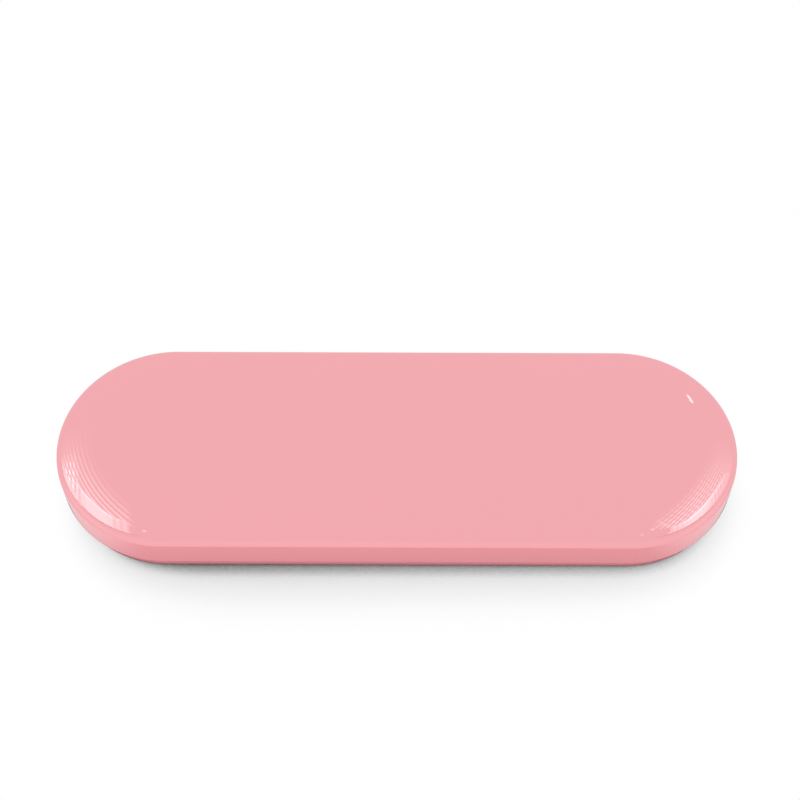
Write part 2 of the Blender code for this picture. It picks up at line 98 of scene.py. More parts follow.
def addNode(tree, kind, feeds=None, **options):
    made = tree.nodes.new(kind)
    for option, value in options.items():
        setattr(made, option, value)
    feedNode(tree, made, feeds or {})
    return made


def calc(tree, operation, *values, kind="ShaderNodeMath"):
    return addNode(tree, kind, dict(enumerate(values)), operation=operation).outputs[0]


def wholeCalc(tree, operation, *values):
    return calc(tree, operation, *values, kind="FunctionNodeIntegerMath")


def product(tree, *values):
    result = values[0]
    for value in values[1:]:
        result = calc(tree, "MULTIPLY", result, value)
    return result


def minus(tree, first, second):
    return calc(tree, "SUBTRACT", first, second)


def larger(tree, first, second):
    return calc(tree, "MAXIMUM", first, second)


def ease(tree, value, start, end, low=0.0, high=1.0):
    feeds = {"Value": value, "From Min": start, "From Max": end, "To Min": low, "To Max": high}
    return addNode(tree, "ShaderNodeMapRange", feeds, interpolation_type="SMOOTHSTEP").outputs["Result"]


def blend(tree, factor, first, second):
    feeds = {"Factor": factor, "A": first, "B": second}
    return addNode(tree, "ShaderNodeMix", feeds, data_type="FLOAT").outputs[0]


def axes(tree, vector):
    return addNode(tree, "ShaderNodeSeparateXYZ", {0: vector}).outputs


def noise(tree, vector, scale, detail, roughness=0.5):
    feeds = {"Vector": vector, "Scale": scale, "Detail": detail, "Roughness": roughness}
    return addNode(tree, "ShaderNodeTexNoise", feeds).outputs["Fac"]


def curved(tree, value, points):
    # the first and last points of a fresh curve are moved, the others added between
    node = addNode(tree, "ShaderNodeFloatCurve", {"Value": value})
    line = node.mapping.curves[0]
    line.points[0].location = points[0]
    line.points[-1].location = points[-1]
    for x, y in points[1:-1]:
        line.points.new(x, y)
    node.mapping.update()
    return node.outputs["Value"]


def newTree(name, kind, inputs, outputs):
    # an input is given by its default value, or by the name of its type where it has none
    types = {int: "Int", float: "Float", tuple: "Vector"}
    tree = bpy.data.node_groups.new(name, kind)
    for label, value in inputs.items():
        typeName = types.get(type(value), value)
        socket = tree.interface.new_socket(label, in_out="INPUT", socket_type="NodeSocket" + typeName)
        if typeName != value:
            socket.default_value = value
    for label, typeName in outputs.items():
        tree.interface.new_socket(label, in_out="OUTPUT", socket_type="NodeSocket" + typeName)
    return tree, tree.nodes.new("NodeGroupInput").outputs, tree.nodes.new("NodeGroupOutput")


def endTree(tree, result, geometry, material):
    realized = addNode(tree, "GeometryNodeRealizeInstances", {"Geometry": geometry}).outputs[0]
    finished = addNode(tree, "GeometryNodeSetMaterial", {"Geometry": realized, "Material": material})
    feedNode(tree, result, {"Geometry": finished.outputs[0]})
    return tree


def addTree(piece, name, tree, values):
    modifier = piece.modifiers.new(name, "NODES")
    modifier.node_group = tree
    for item in tree.interface.items_tree:
        if item.item_type == "SOCKET" and item.in_out == "INPUT" and item.name in values:
            modifier[item.identifier] = values[item.name]


# and for objects

def newObject(name, data):
    made = bpy.data.objects.new(name, data)
    bpy.context.scene.collection.objects.link(made)
    return made


def meshFrom(name, bm):
    mesh = bpy.data.meshes.new(name)
    bm.to_mesh(mesh)
    bm.free()
    return mesh


# finishes that several materials share: a grain whose mask mixes it with broad patches, and dust
grainMix = {"patchScale": 0.06, "patchShare": 0.4, "fineShare": 0.6}
dustReach = {"speck": (0.22, 0.05), "haze": (0.45, 0.7)}


def makeGrain():
    # fine moulded or woven grain: a height for bump and a mask for colour
    tree, get, result = newTree("fineGrain", "ShaderNodeTree", {
        "Vector": "Vector", "Scale": 2000.0, "Stretch": (1.0, 1.0, 1.0), "Softness": 0.5,
    }, {"Height": "Float", "Mask": "Float"})
    feeds = {0: get["Vector"], 1: get["Stretch"]}
    scaled = addNode(tree, "ShaderNodeVectorMath", feeds, operation="MULTIPLY").outputs["Vector"]
    fine = noise(tree, scaled, get["Scale"], detail=3.0, roughness=get["Softness"])
    patches = noise(tree, scaled, product(tree, get["Scale"], grainMix["patchScale"]), detail=2.0)
    spread = product(tree, fine, grainMix["fineShare"])
    mask = calc(tree, "MULTIPLY_ADD", patches, grainMix["patchShare"], spread)
    feedNode(tree, result, {"Height": fine, "Mask": mask})
    return tree


def makeDust():
    # sparse pale specks and a soft haze, as handling leaves on smooth things
    tree, get, result = newTree("handlingDust", "ShaderNodeTree", {
        "Vector": "Vector", "Speck Scale": 600.0, "Speck Share": 0.05, "Haze Scale": 25.0,
    }, {"Specks": "Float", "Haze": "Float"})
    feeds = {"Vector": get["Vector"], "Scale": get["Speck Scale"]}
    cells = addNode(tree, "ShaderNodeTexVoronoi", feeds).outputs
    lucky = addNode(tree, "ShaderNodeSeparateColor", {"Color": cells["Color"]}).outputs["Red"]
    chosen = calc(tree, "LESS_THAN", lucky, get["Speck Share"])
    dot = ease(tree, cells["Distance"], *dustReach["speck"])
    haze = ease(tree, noise(tree, get["Vector"], get["Haze Scale"], detail=4.0), *dustReach["haze"])
    feedNode(tree, result, {"Specks": product(tree, chosen, dot), "Haze": haze})
    return tree


fineGrain = makeGrain()
handlingDust = makeDust()


def newMaterial(name):
    material = bpy.data.materials.new(name)
    material.use_nodes = True
    tree = material.node_tree
    place = addNode(tree, "ShaderNodeTexCoord").outputs["Object"]
    return material, tree, tree.nodes["Principled BSDF"], place


def useGroup(tree, group, feeds):
    return addNode(tree, "ShaderNodeGroup", feeds, node_tree=group).outputs


def blendColours(tree, factor, first, second):
    feeds = {"Factor": factor, 6: (*first, 1.0), 7: (*second, 1.0)}
    return addNode(tree, "ShaderNodeMix", feeds, data_type="RGBA").outputs[2]


def bumped(tree, height, distance):
    feeds = {"Height": height, "Distance": distance, "Strength": 1.0}
    return addNode(tree, "ShaderNodeBump", feeds).outputs["Normal"]


# glossy pink lacquer of both shells
lacquer = {
    "pink": (0.810, 0.283, 0.319),
    "deeperPink": (0.790, 0.275, 0.309),
    "driftScale": 18.0,           # between the two pinks, per metre
    "peelScale": 260.0,           # orange peel, per metre
    "peelDepth": 0.0016 * mm,
    "roughness": (0.30, 0.38),    # without haze and with it
    "dust": {"Haze Scale": 30.0},
    "shader": {"Coat Weight": 1.0, "Coat Roughness": 0.025, "Coat IOR": 2.3, "Specular IOR Level": 0.0},
}


def makeLacquer():
    material, tree, shader, place = newMaterial("pinkLacquer")
    drift = noise(tree, place, lacquer["driftScale"], detail=2.0)
    peel = noise(tree, place, lacquer["peelScale"], detail=1.0)
    haze = useGroup(tree, handlingDust, {"Vector": place, **lacquer["dust"]})["Haze"]
    feedNode(tree, shader, {
        "Base Color": blendColours(tree, drift, lacquer["pink"], lacquer["deeperPink"]),
        "Roughness": ease(tree, haze, 0.0, 1.0, *lacquer["roughness"]),
        "Normal": bumped(tree, peel, lacquer["peelDepth"]),
        **lacquer["shader"],
    })
    return material


# silvered glass with a breath of dust on it
mirrorLook = {
    "clear": (0.93, 0.94, 0.945),
    "hazed": (0.90, 0.91, 0.915),
    "roughness": (0.004, 0.02),   # without haze and with it
    "speckRoughness": 0.4,
    "dust": {"Speck Scale": 900.0, "Speck Share": 0.015, "Haze Scale": 22.0},
    "shader": {"Metallic": 1.0, "Coat Weight": 0.3, "Coat Roughness": 0.0},
}


def makeMirrorGlass():
    material, tree, shader, place = newMaterial("silveredGlass")
    dust = useGroup(tree, handlingDust, {"Vector": place, **mirrorLook["dust"]})
    hazed = ease(tree, dust["Haze"], 0.0, 1.0, *mirrorLook["roughness"])
    feedNode(tree, shader, {
        "Base Color": blendColours(tree, dust["Haze"], mirrorLook["clear"], mirrorLook["hazed"]),
        "Roughness": calc(tree, "MULTIPLY_ADD", dust["Specks"], mirrorLook["speckRoughness"], hazed),
        **mirrorLook["shader"],
    })
    return material


# charcoal flock on the tray
flock = {
    "dark": (0.034, 0.032, 0.035),
    "light": (0.072, 0.068, 0.073),
    "toneReach": (0.24, 0.80),    # the mask's values between which dark turns to light
    "grain": {"Scale": 5200.0, "Softness": 0.75},
    "depth": 0.12 * mm,
    "shader": {"Roughness": 0.95, "Sheen Weight": 0.55, "Sheen Roughness": 0.45,
               "Sheen Tint": (0.75, 0.72, 0.76, 1.0), "Specular IOR Level": 0.15},
}

# moulded liner in the lid
linerPlastic = {
    "dark": (0.035, 0.032, 0.036),
    "light": (0.055, 0.050, 0.055),
    "grain": {"Scale": 3400.0, "Softness": 0.55},
    "depth": 0.05 * mm,
    "roughness": (0.2, 0.8, 0.48, 0.62),     # from and to in the mask, and the roughness at both
}

# drawn pins and plated magnets
steel = {
    "dark": (0.50, 0.50, 0.52),
    "light": (0.68, 0.68, 0.70),
    "grain": {"Scale": 2600.0, "Stretch": (0.04, 1.0, 1.0), "Softness": 0.6},
    "depth": 0.006 * mm,
    "roughness": (0.25, 0.75, 0.22, 0.36),
    "shader": {"Metallic": 1.0},
}
nickel = {
    "dark": (0.60, 0.57, 0.52),
    "light": (0.74, 0.71, 0.66),
    "grain": {"Scale": 2600.0, "Stretch": (1.0, 1.0, 0.3), "Softness": 0.6},
    "depth": 0.006 * mm,
    "roughness": (0.25, 0.75, 0.16, 0.30),
    "shader": {"Metallic": 1.0},
}

# foam strips behind the mirror
foam = {
    "dark": (0.74, 0.74, 0.71),
    "light": (0.86, 0.86, 0.84),
    "grain": {"Scale": 1800.0, "Softness": 0.5},
    "depth": 0.1 * mm,
    "roughness": (0.2, 0.8, 0.7, 0.9),
}


def makeGrained(name, look):
    # two tones, a roughness and a fine relief, all from one grain
    material, tree, shader, place = newMaterial(name)
    grain = useGroup(tree, fineGrain, {"Vector": place, **look["grain"]})
    tone = grain["Mask"]
    if "toneReach" in look:
        tone = ease(tree, tone, *look["toneReach"])
    feedNode(tree, shader, look.get("shader", {}))
    feedNode(tree, shader, {"Base Color": blendColours(tree, tone, look["dark"], look["light"]),
                            "Normal": bumped(tree, grain["Height"], look["depth"])})
    if "roughness" in look:
        feedNode(tree, shader, {"Roughness": ease(tree, grain["Mask"], *look["roughness"])})
    return material


pinkLacquer = makeLacquer()
mirrorGlass = makeMirrorGlass()
charcoalFlock = makeGrained("charcoalFlock", flock)
linerSkin = makeGrained("linerPlastic", linerPlastic)
steelMetal = makeGrained("steelMetal", steel)
nickelMetal = makeGrained("nickelMetal", nickel)
foamTape = makeGrained("foamTape", foam)
print("materials made")


# the sweep: carries a profile round the pill's outline

def makePillSweep():
    # the profile's points hold the inset from the outline in X and the height in Z
    tree, get, result = newTree("pillSweep", "GeometryNodeTree", {
        "Profile": "Geometry", "Length": 0.18, "Width": 0.06, "End Steps": 96, "Side Steps": 24,
        "Material": "Material",
    }, {"Geometry": "Geometry"})
    rows = addNode(tree, "GeometryNodeAttributeDomainSize", {"Geometry": get["Profile"]},
                   component="MESH").outputs["Point Count"]
    perHalf = wholeCalc(tree, "ADD", get["End Steps"], get["Side Steps"])
    columns = wholeCalc(tree, "MULTIPLY_ADD", perHalf, 2, 1)
    grid = addNode(tree, "GeometryNodeMeshGrid", {"Vertices X": columns, "Vertices Y": rows}).outputs["Mesh"]

    index = addNode(tree, "GeometryNodeInputIndex").outputs["Index"]
    row = wholeCalc(tree, "MODULO", index, rows)
    column = wholeCalc(tree, "DIVIDE_FLOOR", index, rows)
    step = wholeCalc(tree, "MODULO", column, perHalf)
    half = wholeCalc(tree, "MODULO", wholeCalc(tree, "DIVIDE_FLOOR", column, perHalf), 2)
    side = calc(tree, "MULTIPLY_ADD", half, -2.0, 1.0)         # 1 for the right end, -1 for the left

    # each half turns round its end first and then runs along a long side
    turn = calc(tree, "DIVIDE", calc(tree, "MINIMUM", step, get["End Steps"]), get["End Steps"])
    angle = calc(tree, "MULTIPLY_ADD", turn, math.pi, -math.pi / 2.0)
    pastEnd = larger(tree, minus(tree, step, get["End Steps"]), 0.0)
    along = calc(tree, "DIVIDE", pastEnd, get["Side Steps"])
    position = addNode(tree, "GeometryNodeInputPosition").outputs["Position"]
    feeds = {"Geometry": get["Profile"], "Value": position, "Index": row}
    sampled = addNode(tree, "GeometryNodeSampleIndex", feeds, data_type="FLOAT_VECTOR", domain="POINT")
    profile = axes(tree, sampled.outputs["Value"])
    radius = minus(tree, product(tree, get["Width"], 0.5), profile["X"])
    reach = product(tree, minus(tree, get["Length"], get["Width"]), 0.5)
    centre = product(tree, reach, calc(tree, "MULTIPLY_ADD", along, -2.0, 1.0))
    x = calc(tree, "MULTIPLY_ADD", radius, calc(tree, "COSINE", angle), centre)
    y = product(tree, radius, calc(tree, "SINE", angle))
    feeds = {"X": product(tree, side, x), "Y": product(tree, side, y), "Z": profile["Z"]}
    place = addNode(tree, "ShaderNodeCombineXYZ", feeds).outputs["Vector"]
    moved = addNode(tree, "GeometryNodeSetPosition", {"Geometry": grid, "Position": place}).outputs[0]
    closed = addNode(tree, "GeometryNodeMergeByDistance", {"Geometry": moved, "Distance": tiny}).outputs[0]
    return endTree(tree, result, closed, get["Material"])


# the tray's dividers, raised out of its floor
lanes = {
    "count": 4,
    "endInset": 27.0 * mm,        # from the case's end to a divider's end
    "shape": {                    # the dip is for a finger and leaves a share of the height
        "Height": 3.2 * mm, "Foot Width": 2.3 * mm, "Top Width": 0.55 * mm, "End Slope": 9.0 * mm,
        "Dip Length": 24.0 * mm, "Dip Slope": 8.0 * mm, "Dip Share": 0.28,
    },
}


def makeLaneTree():
    tree, get, result = newTree("laneDividers", "GeometryNodeTree", {
        "Geometry": "Geometry", "Count": 3, "Pitch": 0.01, "End": 0.06, "End Slope": 0.009, "Height": 0.003,
        "Foot Width": 0.002, "Top Width": 0.001, "Dip Length": 0.024, "Dip Slope": 0.008, "Dip Share": 0.3,
        "Above": 0.0, "Material": "Material",
    }, {"Geometry": "Geometry"})
    at = axes(tree, addNode(tree, "GeometryNodeInputPosition").outputs["Position"])
    out = calc(tree, "ABSOLUTE", at["X"])
    last = minus(tree, get["Count"], 1.0)
    middle = product(tree, last, 0.5)
    number = calc(tree, "ROUND", calc(tree, "ADD", calc(tree, "DIVIDE", at["Y"], get["Pitch"]), middle))
    number = calc(tree, "MINIMUM", larger(tree, number, 0.0), last)
    nearest = product(tree, minus(tree, number, middle), get["Pitch"])
    away = calc(tree, "ABSOLUTE", minus(tree, at["Y"], nearest))
    foot = product(tree, get["Foot Width"], 0.5)
    section = ease(tree, away, foot, product(tree, get["Top Width"], 0.5))
    ends = ease(tree, minus(tree, get["End"], out), 0.0, get["End Slope"])
    pastDip = minus(tree, out, product(tree, get["Dip Length"], 0.5))
    dip = ease(tree, pastDip, 0.0, get["Dip Slope"], get["Dip Share"], 1.0)
    rise = product(tree, product(tree, section, ends), product(tree, dip, get["Height"]))
    onTop = calc(tree, "GREATER_THAN", at["Z"], get["Above"])
    lift = addNode(tree, "ShaderNodeCombineXYZ", {"Z": product(tree, rise, onTop)}).outputs["Vector"]
    moved = addNode(tree, "GeometryNodeSetPosition", {"Geometry": get["Geometry"], "Offset": lift}).outputs[0]
    return endTree(tree, result, moved, get["Material"])


pillSweep = makePillSweep()
laneTree = makeLaneTree()


# profiles are lists of (inset, height); they run from underneath the middle, out, up and back in

def bend(centre, radius, startDeg, endDeg, steps):
    # on a profile, 90 degrees point up, 180 out of the case and 0 inwards
    points = []
    for step in range(steps + 1):
        angle = math.radians(startDeg + (endDeg - startDeg) * step / steps)
        points.append((centre[0] + radius * math.cos(angle), centre[1] + radius * math.sin(angle)))
    return points


def between(start, end, share):
    return (start[0] + (end[0] - start[0]) * share, start[1] + (end[1] - start[1]) * share)


def run(start, end, steps):
    # points between two others, both left out
    return [between(start, end, step / steps) for step in range(1, steps)]


def held(start, end, margin=0.12 * mm, most=0.3):
    # a straight run with a point close to each end, so that its shading stays flat
    share = min(margin / math.dist(start, end), most)
    return [between(start, end, share), between(end, start, share)]


def sweptPiece(name, profile, material, closed=False, endSteps=96, sideSteps=24):
    points = profile + profile[:1] if closed else profile
    mesh = bpy.data.meshes.new(name)
    mesh.from_pydata([(inset, 0.0, height) for inset, height in points],
                     [(place, place + 1) for place in range(len(points) - 1)], [])
    piece = newObject(name, mesh)
    addTree(piece, "sweep", pillSweep, {"Length": case["length"], "Width": case["width"],
                                        "End Steps": endSteps, "Side Steps": sideSteps, "Material": material})
    return piece


def combine(piece, operation, name, bm):
    bmesh.ops.recalc_face_normals(bm, faces=bm.faces)
    change = piece.modifiers.new(name, "BOOLEAN")
    change.operation = operation
    change.solver = "EXACT"
    change.object = newObject(name, meshFrom(name, bm))
    change.object.hide_render = True


def settle(piece, sharpDeg=32.0):
    # the evaluated result becomes a plain mesh of one finish, and the modifiers and their tools go
    graph = bpy.context.evaluated_depsgraph_get()
    mesh = bpy.data.meshes.new_from_object(piece.evaluated_get(graph))
    tools = [change.object for change in piece.modifiers if change.type == "BOOLEAN"]
    piece.modifiers.clear()
    piece.data = mesh
    for tool in tools:
        bpy.data.objects.remove(tool)
    finish = next(material for material in mesh.materials if material)
    mesh.materials.clear()
    mesh.materials.append(finish)
    mesh.polygons.foreach_set("material_index", [0] * len(mesh.polygons))
    mesh.shade_smooth()
    mesh.set_sharp_from_angle(angle=math.radians(sharpDeg))
    print(piece.name, "made,", len(mesh.polygons), "faces")


def rod(bm, radius, start, end, centre, axis="Z", steps=48):
    # a round bar between two distances from its centre along an axis
    rings = []
    for along in (start, end):
        ring = []
        for across in bend((0.0, 0.0), radius, 0, 360, steps)[:-1]:
            offset = (along, *across) if axis == "X" else (*across, along)
            ring.append(bm.verts.new(Vector(centre) + Vector(offset)))
        rings.append(ring)
    first, second = rings
    for place in range(steps):
        after = (place + 1) % steps
        bm.faces.new((first[place], first[after], second[after], second[place]))
    bm.faces.new(first)
    bm.faces.new(second)


def brick(bm, low, high):
    middle = (Vector(low) + Vector(high)) / 2.0
    size = Vector(high) - Vector(low)
    bmesh.ops.create_cube(bm, size=1.0, matrix=Matrix.Translation(middle) @ Matrix.Diagonal((*size, 1.0)))


# closed pockets for the closing magnets
pockets = {"endWall": 0.8 * mm}


def addPockets(piece, holder, depth, blockHeights, roomHeights):
    # depth holds a block's two places in Y, the others the heights where block and room start and end
    blocks = bmesh.new()
    rooms = bmesh.new()
    gap, wall = case["gap"], pockets["endWall"]
    for side in ("left", "right"):
        low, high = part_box(holder + "_latch_magnet_" + side)
        start, end = low.x - gap, high.x + gap
        brick(blocks, (start - wall, depth[0], blockHeights[0]), (end + wall, depth[1], blockHeights[1]))
        brick(rooms, (start, low.y - gap, roomHeights[0]), (end, high.y + gap, roomHeights[1]))
    combine(piece, "UNION", holder + "PocketWalls", blocks)
    combine(piece, "DIFFERENCE", holder + "PocketRooms", rooms)


# hinge: barrels moulded on both shells
knuckles = {
    "radius": 1.985 * mm,
    "boreRadius": 1.1 * mm,
    "boreSteps": 40,
    "rootHeight": 4.0 * mm,
    "lidLength": 8.0 * mm,
    "baseLength": 6.0 * mm,
    "softEdge": 0.18 * mm,
    "barrelSteps": 56,
}
knuckles["lidEnd"] = knuckles["lidLength"] / 2.0
knuckles["baseStart"] = knuckles["lidEnd"] + case["gap"]
knuckles["baseEnd"] = knuckles["baseStart"] + knuckles["baseLength"]
knuckles["reach"] = knuckles["baseEnd"] + case["gap"]


def middleX(name):
    low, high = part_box(name)
    return (low.x + high.x) / 2.0


hingeXs = [middleX("hinge_pin_left"), middleX("hinge_pin_right")]


def knuckleOutline(innerY, outerY, direction):
    # a barrel whose root runs up (1) or down (-1) its wall and leaves the barrel as a tangent
    radius = knuckles["radius"]
    root = knuckles["rootHeight"]
    tangent = math.atan2(root, outerY) - math.acos(radius / math.hypot(outerY, root))
    last = math.acos(innerY / radius) - 2.0 * math.pi
    points = bend((0.0, 0.0), radius, math.degrees(tangent), math.degrees(last), knuckles["barrelSteps"])
    points += [(innerY, root), (outerY, root)]
    return [(hingePoint.y + y, hingePoint.z + direction * z) for y, z in points]


def knuckleShape(outline, spans):
    bm = bmesh.new()
    for middle in hingeXs:
        for start, end in spans:
            front = [bm.verts.new((middle + start, y, z)) for y, z in outline]
            far = bmesh.ops.extrude_face_region(bm, geom=[bm.faces.new(front)])["geom"]
            bmesh.ops.translate(bm, verts=[item for item in far if isinstance(item, bmesh.types.BMVert)],
                                vec=(end - start, 0.0, 0.0))
    rims = [edge for edge in bm.edges if abs(edge.verts[0].co.x - edge.verts[1].co.x) < tiny]
    bmesh.ops.bevel(bm, geom=rims, offset=knuckles["softEdge"], segments=3, profile=0.5, affect="EDGES")
    return bm


def hingeRods(radius, spans, steps):
    bm = bmesh.new()
    for middle in hingeXs:
        for start, end in spans:
            rod(bm, radius, start, end, (middle, hingePoint.y, hingePoint.z), "X", steps)
    return bm


def swingRoom(spans):
    return hingeRods(knuckles["radius"] + case["gap"], spans, knuckles["barrelSteps"])


def pinBores():
    return hingeRods(knuckles["boreRadius"], [(-knuckles["reach"], knuckles["reach"])], knuckles["boreSteps"])


# lid shell
lid = {
    "wall": 1.6 * mm,
    "edgeRadius": 2.0 * mm,
    "crownRise": 1.0 * mm,        # the top swells by this much
    "crownReach": 14.0 * mm,      # over this much from the edge radius
    "innerRadius": 0.4 * mm,
    "lipRadius": 0.7 * mm,
}
crownSlope = math.atan2(2.0 * lid["crownRise"], lid["crownReach"])


def crownLine(shift, steps):
    # the top rises at an even rate of change and is then flat
    start = lid["edgeRadius"] * (1.0 - math.sin(crownSlope))
    points = []
    for step in range(1, steps + 1):
        share = step / steps
        drop = lid["crownRise"] * (1.0 - share) ** 2
        points.append((start + lid["crownReach"] * share, lidHigh.z - drop - shift))
    return points


def makeLidShell():
    middle = case["width"] / 2.0
    radius = lid["edgeRadius"]
    sideTop = lidHigh.z - lid["crownRise"] - radius * math.cos(crownSlope)
    innerTop = lidHigh.z - lid["crownRise"] - lid["wall"]
    profile = [(middle, lidHigh.z - lid["wall"])] + crownLine(lid["wall"], 8)[::-1]
    innerCentre = (lid["wall"] + lid["innerRadius"], innerTop - lid["innerRadius"])
    profile += bend(innerCentre, lid["innerRadius"], 90, 180, 4) + [(lid["wall"], case["lidRim"])]
    lip = bend((lid["lipRadius"], case["lidRim"] + lid["lipRadius"]), lid["lipRadius"], 270, 180, 8)
    edge = bend((radius, sideTop), radius, 180, 90 + math.degrees(crownSlope), 22)
    crown = crownLine(0.0, 30)
    profile += lip + held(lip[-1], edge[0]) + edge + crown
    profile += run(crown[-1], (middle, lidHigh.z), 4) + [(middle, lidHigh.z)]
    shell = sweptPiece("lidShell", profile, pinkLacquer)

    near, far = knuckles["lidEnd"], knuckles["reach"]
    combine(shell, "DIFFERENCE", "lidSwingRoom", swingRoom([(near, far), (-far, -near)]))
    wallY = middle - hingePoint.y
    outline = knuckleOutline(wallY - lid["wall"] / 2.0, wallY - case["weld"], 1.0)
    combine(shell, "UNION", "lidKnuckles", knuckleShape(outline, [(-near, near)]))
    combine(shell, "DIFFERENCE", "lidBores", pinBores())
    settle(shell)
    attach(shell, "lid")
    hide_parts("lid_shell")


# base shell
base = {
    "wall": 1.8 * mm,             # at the rim
    "floor": 2.0 * mm,
    "edgeRadius": 7.2 * mm,       # the outside rolls under almost from the rim down
    "innerRadius": 4.5 * mm,
    "rimRadius": 0.3 * mm,
    "overhang": lidHigh.x - baseHigh.x,      # the lid stands out over the base
}


def baseRecess(height):
    # how far the outside has rolled in from its widest line
    drop = max(base["edgeRadius"] - height, 0.0)
    return base["edgeRadius"] - math.sqrt(base["edgeRadius"] ** 2 - drop ** 2)


def makeBaseShell():
    middle = case["width"] / 2.0
    radius = base["edgeRadius"]
    innerInset = base["overhang"] + base["wall"]
    outer = bend((base["overhang"] + radius, radius), radius, 270, 180, 26)
    rimCentre = (base["overhang"] + base["rimRadius"], case["baseRim"] - base["rimRadius"])
    rim = bend(rimCentre, base["rimRadius"], 180, 90, 5)
    innerCentre = (innerInset + base["innerRadius"], base["floor"] + base["innerRadius"])
    inner = bend(innerCentre, base["innerRadius"], 180, 270, 10)
    profile = [(middle, 0.0)] + run((middle, 0.0), outer[0], 3) + outer + held(outer[-1], rim[0]) + rim
    profile += [(innerInset, case["baseRim"])] + inner + [(middle, base["floor"])]
    shell = sweptPiece("baseShell", profile, pinkLacquer)

    near, far = knuckles["baseStart"], knuckles["baseEnd"]
    combine(shell, "DIFFERENCE", "baseSwingRoom", swingRoom([(-near, near)]))
    wallY = middle - base["overhang"] - hingePoint.y
    footY = wallY - baseRecess(hingePoint.z - knuckles["rootHeight"]) - case["weld"]
    outline = knuckleOutline(footY - base["wall"] / 4.0, footY, -1.0)
    combine(shell, "UNION", "baseKnuckles", knuckleShape(outline, [(near, far), (-far, -near)]))
    combine(shell, "DIFFERENCE", "baseBores", pinBores())
    settle(shell)
    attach(shell, "base")
    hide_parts("base_shell")


# flocked tray
tray = {
    "thickness": 1.0 * mm,
    "rimWidth": 4.4 * mm,
    "floorRadius": 2.0 * mm,
    "edgeSoftness": 0.25 * mm,
    "rowPitch": 0.16 * mm,        # close rows over the floor, which carries the dividers
    "socketWall": 0.7 * mm,
}
tray["under"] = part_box("hold_magnet_1")[1].z + case["gap"]


def addSockets(piece):
    # round sockets for the holding magnets, two under each lane
    walls = bmesh.new()
    rooms = bmesh.new()
    for number in range(1, 2 * lanes["count"] + 1):
        low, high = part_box("hold_magnet_" + str(number))
        place = ((low.x + high.x) / 2.0, (low.y + high.y) / 2.0, 0.0)
        room = (high.x - low.x) / 2.0 + case["gap"]
        rod(walls, room + tray["socketWall"], low.z, tray["under"] + case["weld"], place)
        rod(rooms, room, low.z - case["weld"], tray["under"], place)
    combine(piece, "UNION", "socketWalls", walls)
    combine(piece, "DIFFERENCE", "socketRooms", rooms)


def makeTray():
    middle = case["width"] / 2.0
    edgeInset = middle - trayHigh.y
    lipInset = edgeInset + tray["rimWidth"]
    basinInset = lipInset + tray["thickness"]
    floorZ = tray["under"] + tray["thickness"]
    underRim = case["baseRim"] - tray["thickness"]
    soft = tray["edgeSoftness"]
    lipRadius = tray["thickness"] / 2.0
    floorCentre = (basinInset + tray["floorRadius"], floorZ + tray["floorRadius"])
    profile = [(middle, tray["under"])]
    profile += bend(floorCentre, tray["floorRadius"] + tray["thickness"], 270, 180, 8)
    profile += [(lipInset, underRim), (edgeInset + soft, underRim)]
    profile += bend((edgeInset + soft, case["baseRim"] - soft), soft, 180, 90, 4)
    foot = bend((lipInset - soft, case["baseRim"] + soft), soft, 270, 360, 4)
    lip = bend((lipInset + lipRadius, trayHigh.z - lipRadius), lipRadius, 180, 0, 14)
    corner = bend(floorCentre, tray["floorRadius"], 180, 270, 14)
    floorRows = round((middle - corner[-1][0]) / tray["rowPitch"])
    profile += held(profile[-1], foot[0]) + foot + lip + held(lip[-1], corner[0]) + corner
    profile += run(corner[-1], (middle, floorZ), floorRows) + [(middle, floorZ)]
    piece = sweptPiece("flockedTray", profile, charcoalFlock, endSteps=56, sideSteps=110)
    addTree(piece, "dividers", laneTree, {
        "Count": lanes["count"] - 1, "Pitch": (case["width"] - 2.0 * basinInset) / lanes["count"],
        "End": case["length"] / 2.0 - lanes["endInset"], "Above": (tray["under"] + floorZ) / 2.0,
        "Material": charcoalFlock, **lanes["shape"],
    })
    addSockets(piece)

    # the closing magnets lie under the rim
    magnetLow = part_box("base_latch_magnet_left")[0]
    gap, weld = case["gap"], case["weld"]
    under = magnetLow.z - gap
    depth = (magnetLow.y - 2.0 * gap, lipInset - middle + weld)
    addPockets(piece, "base", depth, (under, underRim + weld), (under - weld, underRim))
    settle(piece, sharpDeg=50.0)
    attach(piece, "base")
    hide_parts("tray")


# liner frame in the lid
liner = {
    "thickness": 1.0 * mm,
    "skirtWall": 0.8 * mm,
    "skirtHeight": 2.8 * mm,
    "frameWidth": 2.0 * mm,
    "cornerRadius": 0.8 * mm,
    "softEdge": 0.2 * mm,
}


